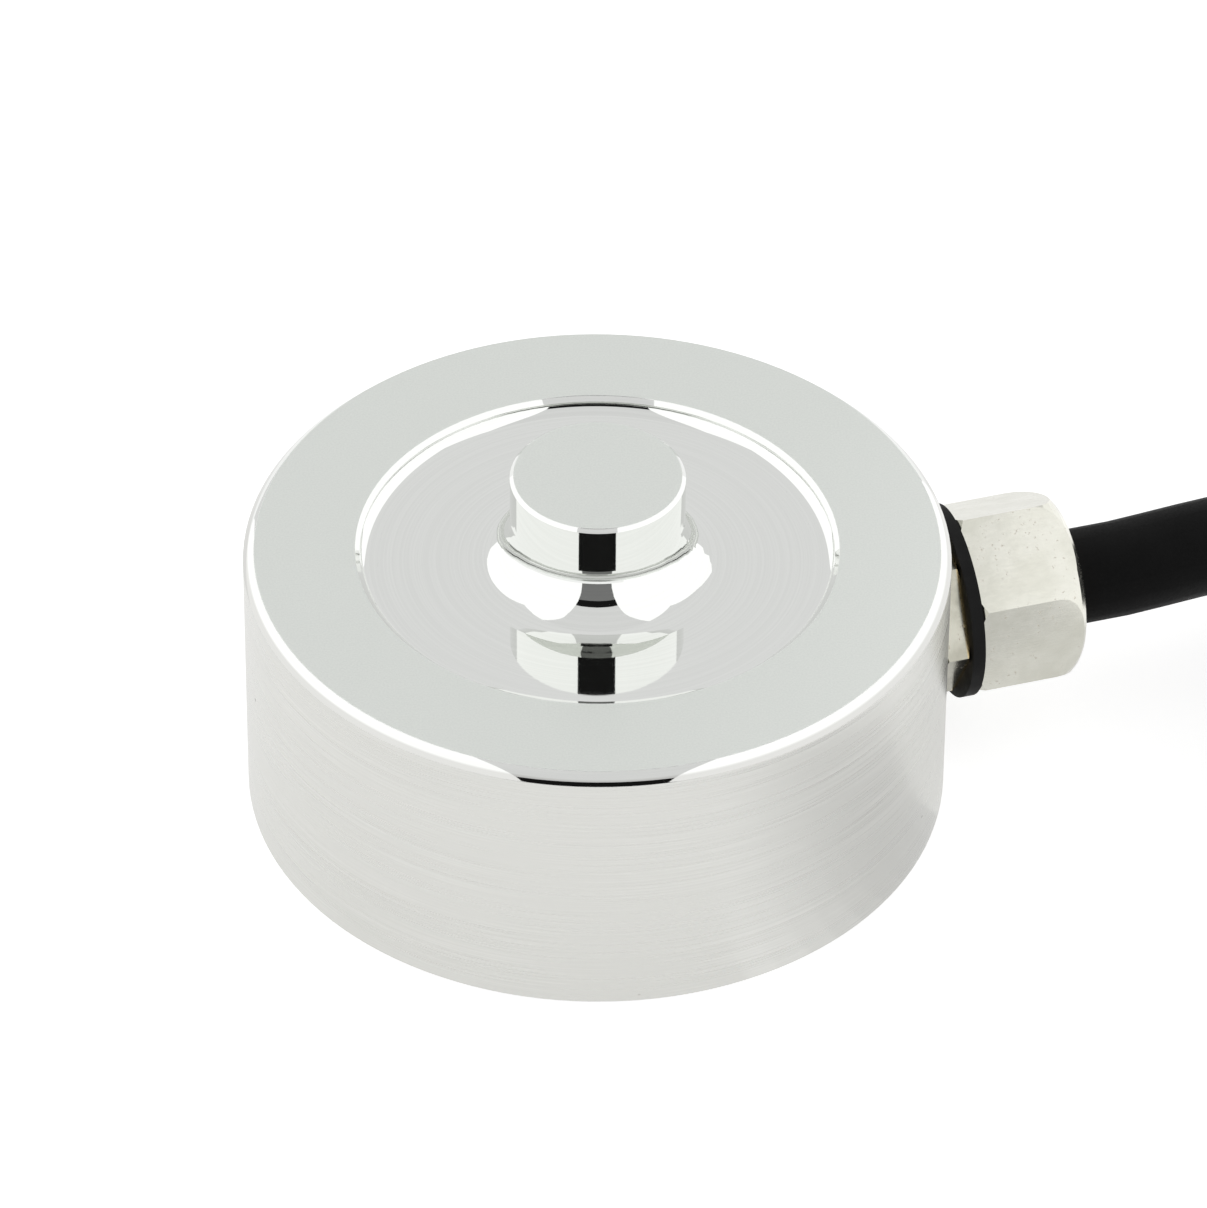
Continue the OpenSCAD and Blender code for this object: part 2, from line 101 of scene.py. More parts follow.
OVER_ROUTE = [(101, 0.2, 19.2), (88, 0.55, 19.1), (74.4, 1.95, 18.6), (67.7, 3.45, 17.45)]
TAIL_ROUTE = [(61.3, 0.25, 0.79), (54.3, 2.55, 0.645), (47.2, 4.15, 0.49), (40.1, 5, 0.34), (32.9, 5.1, 0.205),
              (25.8, 4.45, 0.095), (18.7, 3.05, 0.02)]
TAIL_STRAIGHT = 5.0
SLEEVE_T = 0.35
SLEEVE_L = 18.0
CORE_R = 0.6
STRAND_R = 0.3
CORE_L = 27.0
TIP_L = 5.0
CORE_OFFSET = 0.75
CORE_STEPS = [(0, 0, 1), (0.12, 0, 1), (0.3, 0.12, 0.85), (0.5, 0.36, 0.45), (0.68, 0.62, 0.12),
              (0.84, 0.84, 0), (1, 1, 0)]
CORE_SPREAD = {"red": (-1, 1, -7.5), "black": (-1, -1, -11.5), "green": (1, 1, -3), "white": (1, -1, 0.5)}
DRAIN_SPREAD = -6.5

# Ties
TIE_ANGLES = {"coil_tie_left": -150, "coil_tie_right": -60}
TIE_W = 3.6
TIE_T = 0.5


def link(obj):
    bpy.context.scene.collection.objects.link(obj)
    return obj


def make_camera():
    down = math.radians(CAMERA_DOWN)
    roll = math.radians(CAMERA_ROLL)
    forward = Vector((0, math.cos(down), -math.sin(down)))
    right = Vector((1, 0, 0))
    up = Vector((0, math.sin(down), math.cos(down)))
    side = math.cos(roll) * right + math.sin(roll) * up
    top = -math.sin(roll) * right + math.cos(roll) * up
    data = bpy.data.cameras.new("camera")
    data.sensor_fit = "AUTO"
    data.sensor_width = SENSOR
    data.lens = FOCAL_PX / PHOTO_LONG_SIDE * SENSOR
    data.clip_start = 0.01
    data.clip_end = 20
    camera = link(bpy.data.objects.new("camera", data))
    turn = Matrix((side, top, -forward)).transposed()
    camera.matrix_world = Matrix.Translation(Vector(CAMERA_PLACE) * MM) @ turn.to_4x4()
    bpy.context.scene.camera = camera


# ---------------------------------------------------------------- the cable's route, in mm

def smooth(x):
    x = min(max(x, 0.0), 1.0)
    return x * x * (3 - 2 * x)


def round_coil(angle, radius, z):
    a = math.radians(angle)
    return Vector((COIL_CENTRE[0] + radius * math.cos(a), COIL_CENTRE[1] + radius * math.sin(a), z))


def spline(points, step, first=0):
    """Points about step apart on a smooth curve through the given ones, from number first on."""
    out = []
    last = len(points) - 1
    for i in range(first, last):
        p0 = points[i - 1] if i else 2 * points[0] - points[1]
        p1, p2 = points[i], points[i + 1]
        p3 = points[i + 2] if i + 2 <= last else 2 * points[last] - points[last - 1]
        parts = max(1, round((p2 - p1).length / step))
        d0, d1, d2 = [max((b - a).length, 1e-6) ** 0.5 for a, b in ((p0, p1), (p1, p2), (p2, p3))]
        m1 = (p1 - p0) / d0 - (p2 - p0) / (d0 + d1) + (p2 - p1) / d1
        m2 = (p2 - p1) / d1 - (p3 - p1) / (d1 + d2) + (p3 - p2) / d2
        m1, m2 = m1 * d1, m2 * d1
        for k in range(parts):
            t = k / parts
            out.append((2 * t ** 3 - 3 * t ** 2 + 1) * p1 + (t ** 3 - 2 * t ** 2 + t) * m1
                       + (-2 * t ** 3 + 3 * t ** 2) * p2 + (t ** 3 - t ** 2) * m2)
    return out + [points[last]]


def eased(points, passes):
    """The same line with its small kinks evened out, less and less towards its two ends."""
    last = len(points) - 1
    shares = [min(1.0, i / 5, (last - i) / 5) for i in range(last + 1)]
    for _ in range(passes):
        points = [points[0]] + [b + share * (a + c - 2 * b) / 4 for a, b, c, share
                                in zip(points, points[1:], points[2:], shares[1:])] + [points[-1]]
    return points


def winding():
    """The coil from its first turn on the surface to the top: each layer runs across it, and the next runs back on it."""
    per_layer = COIL_TURNS / COIL_LAYERS * 360
    points = []
    steps = COIL_TURNS * TURN_POINTS
    for i in range(steps + 1):
        turned = i * 360 / TURN_POINTS
        layer, across = divmod(turned, per_layer)
        share = across / per_layer
        if layer >= COIL_LAYERS:
            layer, share = COIL_LAYERS - 1, 1.0
        share = share if layer % 2 == 0 else 1 - share
        radius = COIL_OUTER - share * (COIL_OUTER - COIL_INNER)
        height = 0.0
        for k in range(1, COIL_LAYERS):
            height += smooth((turned - k * per_layer) / (2 * COIL_RISE) + 0.5)
        points.append(round_coil(COIL_ENTRY - turned, radius, COIL_Z + CABLE_R + height * 2 * CABLE_R))
    return points


def tail_points():
    tail_z = CABLE_R + SLEEVE_T
    drop = COIL_Z + COIL_H - CABLE_R - tail_z
    curve = [round_coil(a, COIL_EDGE + CABLE_R + clear, tail_z + share * drop) for a, clear, share in TAIL_ROUTE]
    return curve + [Vector((curve[-1].x, curve[-1].y - TAIL_STRAIGHT, tail_z))]


def cable_route():
    lead = [Vector((EXIT[0] + x, EXIT[1] + y, CABLE_R + share * (GLAND_Z - CABLE_R))) for x, y, share in LEAD_ROUTE]
    coil = winding()
    to_coil = spline(lead + [coil[0], coil[2]], 2.5)
    to_coil = [p for p in to_coil if (p - coil[0]).length > 1.5 and (p - coil[2]).length > (coil[0] - coil[2]).length]
    over = [round_coil(a, COIL_OUTER + out, z) for a, out, z in OVER_ROUTE]
    away = eased(spline([coil[-5], coil[-3], coil[-1]] + over + tail_points(), 2.0, 1), 4)
    return to_coil + coil[:-3] + away


def tube(name, points, radius, resolution):
    """A round cable on one open curve through the points, given in mm."""
    data = bpy.data.curves.new(name, "CURVE")
    data.dimensions = "3D"
    data.bevel_depth = radius * MM
    data.bevel_resolution = resolution
    data.use_fill_caps = True
    line = data.splines.new("POLY")
    line.points.add(len(points) - 1)
    for point, place in zip(line.points, points):
        point.co = (*(place * MM), 1)
    line.use_smooth = True
    return link(bpy.data.objects.new(name, data))


# ---------------------------------------------------------------- node graphs for the finishes

class Finish:
    """One procedural material. Its calls add nodes and return the socket that carries the result."""

    def __init__(self, name):
        self.material = bpy.data.materials.new(name)
        self.material.use_nodes = True
        self.tree = self.material.node_tree
        self.shader = self.tree.nodes["Principled BSDF"]
        self.place = self.node("ShaderNodeVectorMath", operation="SCALE")
        self.tree.links.new(self.node("ShaderNodeTexCoord").outputs["Object"], self.place.inputs[0])
        self.place.inputs["Scale"].default_value = 1 / MM
        self.mm = self.place.outputs[0]
        split = self.node("ShaderNodeSeparateXYZ")
        self.tree.links.new(self.mm, split.inputs[0])
        self.x, self.y, self.z = split.outputs

    def node(self, kind, **settings):
        made = self.tree.nodes.new(kind)
        for key, value in settings.items():
            setattr(made, key, value)
        return made

    def put(self, socket, value):
        if isinstance(value, bpy.types.NodeSocket):
            self.tree.links.new(value, socket)
        elif hasattr(socket.default_value, "__len__") and hasattr(value, "__len__") and len(value) == 3 \
                and len(socket.default_value) == 4:
            socket.default_value = (*value, 1)
        else:
            socket.default_value = value

    def set(self, **values):
        """Puts constants or sockets on the shader: base_color, metallic, roughness, coat_weight and so on."""
        names = {"ior": "IOR", "specular": "Specular IOR Level"}
        for key, value in values.items():
            self.put(self.shader.inputs[names.get(key, key.replace("_", " ").title())], value)
        return self.material

    def math(self, operation, a, b=0.0, clamp=False):
        made = self.node("ShaderNodeMath", operation=operation, use_clamp=clamp)
        self.put(made.inputs[0], a)
        self.put(made.inputs[1], b)
        return made.outputs[0]

    def vector(self, x, y, z=0.0):
        made = self.node("ShaderNodeCombineXYZ")
        for socket, value in zip(made.inputs, (x, y, z)):
            self.put(socket, value)
        return made.outputs[0]

    def stretched(self, x, y, z):
        made = self.node("ShaderNodeVectorMath", operation="MULTIPLY")
        self.put(made.inputs[0], self.mm)
        made.inputs[1].default_value = (x, y, z)
        return made.outputs[0]

    def noise(self, vector, scale, detail=3.0, roughness=0.55):
        made = self.node("ShaderNodeTexNoise")
        self.put(made.inputs["Vector"], vector)
        made.inputs["Scale"].default_value = scale
        made.inputs["Detail"].default_value = detail
        made.inputs["Roughness"].default_value = roughness
        return made.outputs[0]

    def cells(self, vector, scale):
        made = self.node("ShaderNodeTexVoronoi")
        self.put(made.inputs["Vector"], vector)
        made.inputs["Scale"].default_value = scale
        return made.outputs["Distance"]

    def span(self, value, low, high, to_low=0.0, to_high=1.0):
        """Maps low..high to to_low..to_high, held at the ends."""
        made = self.node("ShaderNodeMapRange", interpolation_type="SMOOTHSTEP")
        self.put(made.inputs["Value"], value)
        for key, number in (("From Min", low), ("From Max", high), ("To Min", to_low), ("To Max", to_high)):
            made.inputs[key].default_value = number
        return made.outputs[0]

    def mix(self, share, a, b):
        made = self.node("ShaderNodeMix", data_type="RGBA")
        self.put(made.inputs[0], share)
        self.put(made.inputs[6], a)
        self.put(made.inputs[7], b)
        return made.outputs[2]

    def blend(self, share, a, b):
        made = self.node("ShaderNodeMix", data_type="FLOAT")
        self.put(made.inputs[0], share)
        self.put(made.inputs[2], a)
        self.put(made.inputs[3], b)
        return made.outputs[0]

    def bump(self, height, depth):
        """Relief of the given depth in mm for a height of 1."""
        made = self.node("ShaderNodeBump")
        made.inputs["Strength"].default_value = 1.0
        made.inputs["Distance"].default_value = depth * MM
        self.put(made.inputs["Height"], height)
        self.put(self.shader.inputs["Normal"], made.outputs[0])

    def radius(self):
        """Distance from the body's axis, in mm."""
        return self.math("SQRT", self.math("ADD", self.math("MULTIPLY", self.x, self.x),
                                           self.math("MULTIPLY", self.y, self.y)))

    def gland(self):
        """Distance along the gland's axis and from it, in mm."""
        a = math.radians(GLAND_AZ)
        along = self.math("ADD", self.math("MULTIPLY", self.x, math.cos(a)), self.math("MULTIPLY", self.y, math.sin(a)))
        side = self.math("SUBTRACT", self.math("MULTIPLY", self.y, math.cos(a)),
                         self.math("MULTIPLY", self.x, math.sin(a)))
        up = self.math("SUBTRACT", self.z, GLAND_Z)
        off = self.math("SQRT", self.math("ADD", self.math("MULTIPLY", side, side), self.math("MULTIPLY", up, up)))
        return along, off


def outer_edge(f, r):
    """The outer chamfer's crown, which turns its normals by about 12 degrees, and the band below it, which is darkened
    in colour as painted shade.
    """
    beyond = f.span(r, BODY_R - CHAMFER + 0.005, BODY_R - CHAMFER + 0.015)
    above = f.span(f.z, TOP_Z - CHAMFER + 0.005, TOP_Z - CHAMFER + 0.015)
    on_edge = f.math("MULTIPLY", beyond, above)
    out = f.math("SUBTRACT", r, BODY_R - CHAMFER / 2)
    up = f.math("SUBTRACT", f.z, TOP_Z - CHAMFER / 2)
    across = f.math("MULTIPLY", f.math("SUBTRACT", out, up), 0.7071)
    crown = f.math("ADD", f.math("MULTIPLY", f.math("MULTIPLY", across, across), -21.8),
                   f.math("MULTIPLY", across, 7.25))
    return f.math("MULTIPLY", crown, on_edge), f.math("MULTIPLY", f.span(across, 0.0, 0.16), on_edge)


def body_steel():
    """Turned stainless steel: ground rim and button top, polished groove, hub and chamfers, satin side."""
    f = Finish("body_steel")
    r = f.radius()
    on_top = f.span(f.z, TOP_Z - 0.02, TOP_Z - 0.005)
    out_of_groove = f.span(r, RIM_INNER_R + 0.05, RIM_INNER_R + 0.15)
    rim = f.math("MULTIPLY", on_top, out_of_groove)
    button_top = f.span(f.z, BUTTON_TOP - 0.02, BUTTON_TOP - 0.005)
    ground = f.math("MAXIMUM", rim, button_top)
    side = f.span(r, BODY_R - 0.03, BODY_R - 0.01)
    base = f.span(f.z, 0.02, 0.005)

    grain = f.noise(f.stretched(1, 1, 1), 9.0, 4.0, 0.7)
    rings = f.noise(f.vector(f.math("MULTIPLY", r, 9.0), f.math("MULTIPLY", f.x, 0.06), f.math("MULTIPLY", f.y, 0.06)), 1.0, 3.0, 0.6)
    streaks = f.noise(f.stretched(0.05, 0.05, 7.0), 1.0, 4.0, 0.65)
    cloud = f.noise(f.stretched(0.18, 0.18, 0.5), 1.0, 2.0)
    pits = f.span(f.cells(f.stretched(1, 1, 1.6), 0.16), 0.028, 0.012)

    satin = f.mix(f.span(streaks, 0.3, 0.7), (0.66, 0.66, 0.63), (0.74, 0.74, 0.71))
    satin = f.mix(f.span(cloud, 0.35, 0.7), satin, (0.70, 0.70, 0.67))
    satin = f.mix(f.math("MULTIPLY", pits, 0.75), satin, (0.16, 0.15, 0.13))
    matte = f.mix(f.span(grain, 0.25, 0.75), (0.75, 0.775, 0.745), (0.82, 0.845, 0.81))
    polished = f.mix(f.span(rings, 0.35, 0.7), (0.80, 0.81, 0.79), (0.83, 0.84, 0.82))
    colour = f.mix(side, f.mix(ground, polished, matte), satin)
    colour = f.mix(base, colour, (0.6, 0.6, 0.57))
    crown, painted_shade_band = outer_edge(f, r)
    # Painted shade: the chamfer's band below the crown is darkened in colour, not a different finish
    colour = f.mix(painted_shade_band, colour, (0.63, 0.63, 0.61))

    smooth_rough = f.span(rings, 0.3, 0.8, 0.02, 0.05)
    matte_rough = f.span(grain, 0.2, 0.8, 0.36, 0.5)
    satin_rough = f.span(streaks, 0.25, 0.75, 0.24, 0.38)
    rough = f.blend(side, f.blend(ground, smooth_rough, matte_rough), satin_rough)
    rough = f.blend(base, rough, 0.4)

    relief = f.blend(side, f.blend(ground, f.math("MULTIPLY", rings, 0.018), f.math("MULTIPLY", grain, 0.25)),
                     f.math("MULTIPLY", streaks, 0.3))
    relief = f.math("SUBTRACT", relief, f.math("MULTIPLY", f.math("MULTIPLY", pits, side), 3.0))
    relief = f.math("ADD", relief, crown)
    f.bump(relief, 0.012)
    return f.set(base_color=colour, metallic=1.0, roughness=rough)


def cover_steel():
    """Rolled stainless sheet of the base cover, with its rolling lines."""
    f = Finish("cover_steel")
    lines = f.noise(f.stretched(0.12, 5.0, 5.0), 1.0, 4.0, 0.65)
    f.bump(lines, 0.006)
    return f.set(base_color=f.mix(f.span(lines, 0.3, 0.7), (0.55, 0.55, 0.53), (0.66, 0.66, 0.64)), metallic=1.0,
                 roughness=f.span(lines, 0.2, 0.8, 0.28, 0.42))


def nickel_finish(name, brass, dark=(0.64, 0.635, 0.565), light=(0.71, 0.705, 0.64)):
    """Nickel plate on brass, dulled by handling; brass shows where the mask is 1."""
    f = Finish(name)
    along, off = f.gland()
    worn = brass(f, along, off)
    cloud = f.noise(f.stretched(0.5, 0.5, 0.5), 1.0, 3.0, 0.6)
    specks = f.math("MULTIPLY", f.span(f.noise(f.mm, 4.0, 3.0, 0.7), 0.60, 0.70), f.span(cloud, 0.45, 0.62))
    scratches = f.noise(f.stretched(1.2, 1.2, 9.0), 1.0, 3.0, 0.7)
    plate = f.mix(f.span(cloud, 0.3, 0.7), dark, light)
    plate = f.mix(f.math("MULTIPLY", specks, 0.55), plate, (0.34, 0.29, 0.20))
    colour = f.mix(worn, plate, (0.66, 0.50, 0.23))
    rough = f.math("ADD", f.span(scratches, 0.2, 0.8, 0.13, 0.24), f.math("MULTIPLY", specks, 0.25))
    f.bump(f.math("SUBTRACT", f.math("MULTIPLY", scratches, 0.5), f.math("MULTIPLY", specks, 0.3)), 0.006)
    return f.set(base_color=colour, metallic=1.0, roughness=rough)


def nut_brass(f, along, off):
    return f.math("MULTIPLY", f.span(off, CABLE_R + 0.75, CABLE_R + 0.55), f.span(along, NUT_END - 0.6, NUT_END - 0.3))


def nipple_brass(f, along, off):
    edge = f.span(along, NIPPLE_HEX[1] - 0.25, NIPPLE_HEX[1] - 0.12)
    return f.math("MULTIPLY", edge, 0.85)


def black_rubber():
    """Moulded nitrile rubber with a faint bloom."""
    f = Finish("black_rubber")
    bloom = f.noise(f.mm, 1.1, 4.0, 0.6)
    f.bump(f.noise(f.mm, 7.0, 2.0), 0.01)
    return f.set(base_color=f.mix(f.span(bloom, 0.3, 0.8), (0.003, 0.003, 0.003), (0.009, 0.009, 0.009)),
                 roughness=f.span(bloom, 0.3, 0.8, 0.55, 0.72), specular=0.15)


def cable_jacket():
    """Extruded black PVC: fine matte grain and a faint mottle of dust."""
    f = Finish("cable_jacket")
    grain = f.noise(f.mm, 6.0, 3.0, 0.7)
    dust = f.noise(f.stretched(0.3, 0.3, 0.3), 1.0, 3.0, 0.6)
    f.bump(grain, 0.012)
    return f.set(base_color=f.mix(f.span(dust, 0.35, 0.8), (0.0015, 0.0015, 0.0015), (0.004, 0.004, 0.004)),
                 roughness=f.span(grain, 0.2, 0.8, 0.55, 0.7), specular=0.08)


def plastic(name, dark, light, rough=(0.35, 0.5), scale=2.5, relief=0.008, **more):
    """Moulded or extruded plastic with a fine grain."""
    f = Finish(name)
    grain = f.noise(f.mm, scale, 3.0, 0.6)
    f.bump(f.noise(f.mm, scale * 4, 2.0), relief)
    return f.set(base_color=f.mix(f.span(grain, 0.3, 0.75), dark, light),
                 roughness=f.span(grain, 0.2, 0.8, *rough), **more)


def plated(name, dark, light, rough=(0.2, 0.34), scale=3.0, relief=0.006):
    """Bare or tinned metal with handling marks."""
    f = Finish(name)
    marks = f.noise(f.mm, scale, 4.0, 0.65)
    f.bump(marks, relief)
    return f.set(base_color=f.mix(f.span(marks, 0.3, 0.7), dark, light), metallic=1.0,
                 roughness=f.span(marks, 0.2, 0.8, *rough))


def board():
    """Glass-epoxy board with its weave under green varnish."""
    f = Finish("board")
    warp = f.math("SINE", f.math("MULTIPLY", f.x, 9.0))
    weft = f.math("SINE", f.math("MULTIPLY", f.y, 9.0))
    weave = f.math("MULTIPLY", warp, weft)
    f.bump(weave, 0.004)
    return f.set(base_color=f.mix(f.span(weave, -1.0, 1.0), (0.008, 0.11, 0.035), (0.02, 0.19, 0.06)),
                 roughness=f.span(weave, -1.0, 1.0, 0.24, 0.32), coat_weight=0.4, coat_roughness=0.12)


def gauge_film():
    """Polyimide carrier film of the strain gauges."""
    f = Finish("gauge_film")
    ripple = f.noise(f.mm, 1.6, 3.0)
    f.bump(ripple, 0.01)
    return f.set(base_color=f.mix(f.span(ripple, 0.3, 0.7), (0.45, 0.19, 0.03), (0.60, 0.29, 0.06)),
                 roughness=f.span(ripple, 0.2, 0.8, 0.18, 0.3), coat_weight=0.3)


def finishes():
    """Every material slot of the record, by name."""
    wire = {"rough": (0.3, 0.42), "scale": 1.6, "relief": 0.006}
    return {
        "body_steel": body_steel(),
        "cover_steel": cover_steel(),
        "sealant": plastic("sealant", (0.12, 0.12, 0.115), (0.2, 0.2, 0.19), (0.35, 0.55), 1.2, 0.03),
        "board": board(),
        "pad_copper": plated("pad_copper", (0.70, 0.62, 0.40), (0.80, 0.72, 0.50)),
        "resistor": plastic("resistor", (0.02, 0.02, 0.022), (0.05, 0.05, 0.055), (0.3, 0.45), 4.0),
        "gauge_film": gauge_film(),
        "gauge_foil": plated("gauge_foil", (0.55, 0.50, 0.40), (0.68, 0.63, 0.52), (0.15, 0.25), 6.0, 0.003),
        "solder": plated("solder", (0.60, 0.60, 0.59), (0.74, 0.74, 0.73), (0.16, 0.3), 2.0, 0.01),
        "bare_wire": plated("bare_wire", (0.62, 0.61, 0.58), (0.75, 0.74, 0.71), (0.2, 0.34), 5.0),
        "wire_red": plastic("wire_red", (0.42, 0.012, 0.01), (0.55, 0.02, 0.016), **wire),
        "wire_black": plastic("wire_black", (0.008, 0.008, 0.008), (0.02, 0.02, 0.02), **wire),
        "wire_green": plastic("wire_green", (0.01, 0.2, 0.035), (0.02, 0.3, 0.06), **wire),
        "wire_white": plastic("wire_white", (0.66, 0.65, 0.61), (0.76, 0.75, 0.72), **wire),
        "gland_brass": nickel_finish("gland_brass", nut_brass),
        "black_rubber": black_rubber(),
        "nylon": plastic("nylon", (0.60, 0.58, 0.50), (0.70, 0.68, 0.60), (0.35, 0.5), 1.5,
                         subsurface_weight=0.0),
        "crimp_metal": plated("crimp_metal", (0.55, 0.54, 0.52), (0.68, 0.67, 0.65)),
        "cable_jacket": cable_jacket(),
        "tie_plastic": plastic("tie_plastic", (0.012, 0.012, 0.012), (0.03, 0.03, 0.03), (0.32, 0.45), 2.0, 0.01),
        "shrink_sleeve": plastic("shrink_sleeve", (0.006, 0.006, 0.006), (0.014, 0.014, 0.014), (0.3, 0.42), 0.9, 0.03),
    }


def dress_nodes(finish):
    """Every carried-over node gets its slot's finish; the gland's collar then gets a darker copy of the nickel plate,
    as painted shade.
    """
    for part in frame["record"]["subparts"]:
        obj = nodes[part["node"]]
        obj.data.materials.clear()
        obj.data.materials.append(finish[part["material_slot"]])
    # Painted shade: a darker copy of the nut's nickel plate, for the collar in the gap between body and nut
    nipple = nickel_finish("gland_nipple_plate_painted_shade", nipple_brass, (0.38, 0.37, 0.31), (0.52, 0.51, 0.44))
    nodes["gland_nipple"].data.materials.clear()
    nodes["gland_nipple"].data.materials.append(nipple)


# ---------------------------------------------------------------- pieces

def give(obj, material, slot, *replaced):
    obj.data.materials.clear()
    obj.data.materials.append(material)
    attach(obj, "root")
    if replaced:
        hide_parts(*replaced)
    return obj


def core_path(side, height, spread, length):
    end = tail_points()[-1]
    start = end + Vector((side, -SLEEVE_L, height))
    drop = start.z - CORE_R
    return [Vector((start.x + s[1] * spread, start.y - s[0] * length, CORE_R + s[2] * drop)) for s in CORE_STEPS]


def make_cores(finish):
    """The four cores and the drain wire beyond the sleeve."""
    made = []
    for colour, (side, height, spread) in CORE_SPREAD.items():
        path = core_path(side * CORE_OFFSET, height * CORE_OFFSET, spread, CORE_L - TIP_L)
        core = tube("core_" + colour + "_wire", spline(path, 0.8), CORE_R, 4)
        made.append(give(core, finish["wire_" + colour], "wire_" + colour, "core_" + colour))
    path = core_path(0, 0, DRAIN_SPREAD, CORE_L)
    drain = tube("drain_wire_strand", spline(path, 0.8), STRAND_R, 3)
    made.append(give(drain, finish["bare_wire"], "bare_wire", "drain_wire"))
    return made


def make_tie(node, angle, finish):
    """A ratchet tie drawn round the coil: its band and the head outside."""
    mesh = bpy.data.meshes.new(node + "_band")
    form = bmesh.new()
    half = COIL_HALF_W + 0.12
    top = COIL_H + 2 * 0.12 + TIE_T
    low = TIE_T
    corner = 2.0
    line = []
    for cx, cz, start in ((half - corner, top - corner, 0), (-half + corner, top - corner, 90),
                          (-half + corner, low + corner, 180), (half - corner, low + corner, 270)):
        for k in range(9):
            a = math.radians(start + k * 90 / 8)
            line.append((cx + corner * math.cos(a), cz + corner * math.sin(a), math.cos(a), math.sin(a)))
    rows = []
    profile = [(-TIE_W / 2, 0.08), (-TIE_W / 2 + 0.12, TIE_T), (TIE_W / 2 - 0.12, TIE_T), (TIE_W / 2, 0.08),
               (TIE_W / 2, 0), (-TIE_W / 2, 0)]
    for x, z, nx, nz in line:
        rows.append([form.verts.new((x + nx * out, along, z + nz * out)) for along, out in profile])
    for i, row in enumerate(rows):
        following = rows[(i + 1) % len(rows)]
        for k in range(len(profile)):
            n = (k + 1) % len(profile)
            form.faces.new((row[k], following[k], following[n], row[n]))
    head = bmesh.ops.create_cube(form, size=1)["verts"]
    bmesh.ops.scale(form, vec=(2.2, TIE_W + 1.6, 3.6), verts=head)
    bmesh.ops.translate(form, vec=(half + TIE_T + 0.2, 0, 11), verts=head)
    edges = list({e for v in head for e in v.link_edges})
    bmesh.ops.bevel(form, geom=edges, offset=0.35, segments=2, profile=0.6, affect="EDGES")
    bmesh.ops.recalc_face_normals(form, faces=form.faces)
    turn = Matrix.Rotation(math.radians(angle), 4, "Z")
    bmesh.ops.transform(form, matrix=Matrix.Translation(Vector((*COIL_CENTRE, 0))) @ turn
                        @ Matrix.Translation(Vector((COIL_MID_R, 0, 0))), verts=form.verts)
    bmesh.ops.scale(form, vec=(MM, MM, MM), verts=form.verts)
    form.to_mesh(mesh)
    form.free()
    for face in mesh.polygons:
        face.use_smooth = False
    band = link(bpy.data.objects.new(node + "_band", mesh))
    return give(band, finish["tie_plastic"], "tie_plastic", node)


def make_groove_fillet(finish):
    """The hollow fillet between the groove's floor and its outer wall, turned with the body."""
    wall_h = GROOVE_WALL_TOP - GROOVE_FLOOR
    sweep = math.acos(1 - wall_h / GROOVE_FILLET_R)
    inner = RIM_INNER_R - GROOVE_FILLET_R * math.sin(sweep)
    profile = [(RIM_INNER_R + SUNK, GROOVE_FLOOR - SUNK), (RIM_INNER_R + SUNK, GROOVE_WALL_TOP)]
    for k in range(FILLET_STEPS, -1, -1):
        a = sweep * k / FILLET_STEPS
        profile.append((inner + GROOVE_FILLET_R * math.sin(a),
                        GROOVE_FLOOR + GROOVE_FILLET_R * (1 - math.cos(a))))
    profile.append((inner, GROOVE_FLOOR - SUNK))
    form = bmesh.new()
    rows = []
    for i in range(FILLET_SIDES):
        a = 2 * math.pi * i / FILLET_SIDES
        rows.append([form.verts.new((r * math.cos(a) * MM, r * math.sin(a) * MM, z * MM)) for r, z in profile])
    for i, row in enumerate(rows):
        following = rows[(i + 1) % FILLET_SIDES]
        for k in range(len(profile)):
            n = (k + 1) % len(profile)
            face = form.faces.new((row[k], following[k], following[n], row[n]))
            face.smooth = 1 < k < len(profile) - 2
    bmesh.ops.recalc_face_normals(form, faces=form.faces)
    for edge in form.edges:
        edge.smooth = all(face.smooth for face in edge.link_faces)
    mesh = bpy.data.meshes.new("groove_fillet")
    form.to_mesh(mesh)
    form.free()
    ring = link(bpy.data.objects.new("groove_fillet", mesh))
    return give(ring, finish["body_steel"], "body_steel")


# ---------------------------------------------------------------- floor and light

FLOOR_HALF = 3.0
FLOOR_COLOUR = (0.45, 0.45, 0.45)
FLOOR_GLOW_SEEN = 0.77
FLOOR_GLOW_MIRRORED = 0.62
SKY_LEVEL = 1.0
SKY_MIRRORED = 1.25
GREY_FAN = (26, 80, 0.0192, 0.05)               # from and to, in degrees right of the front, and radii in m
GREY_LEVELS = (1.02, 0.98, 0.92, 0.86, 0.80, 0.76, 0.74, 0.74, 0.76)
COIL_SCREEN = (0.0335, -0.055, 0.04, 0.05)      # x, from y, to y, height, in m
TENT_R = 0.9
# Panels of the tent that reflections see: from and to, in degrees up from the front, half width in m, level
TENT_PANELS = {
    "front_low": (1, 36, 0.30, 0.20),
    "front_gap": (36, 49, 0.30, 0.01),
    "front_high": (49, 100, 0.30, 0.78),
    "back": (100, 178, 0.60, 0.82),
}


def glow_material(name, colour, level):
    material = bpy.data.materials.new(name)
    material.use_nodes = True
    tree = material.node_tree
    tree.nodes.clear()
    glow = tree.nodes.new("ShaderNodeEmission")
    glow.inputs["Color"].default_value = (*colour, 1)
    glow.inputs["Strength"].default_value = level
    out = tree.nodes.new("ShaderNodeOutputMaterial")
    tree.links.new(glow.outputs[0], out.inputs[0])
    return material


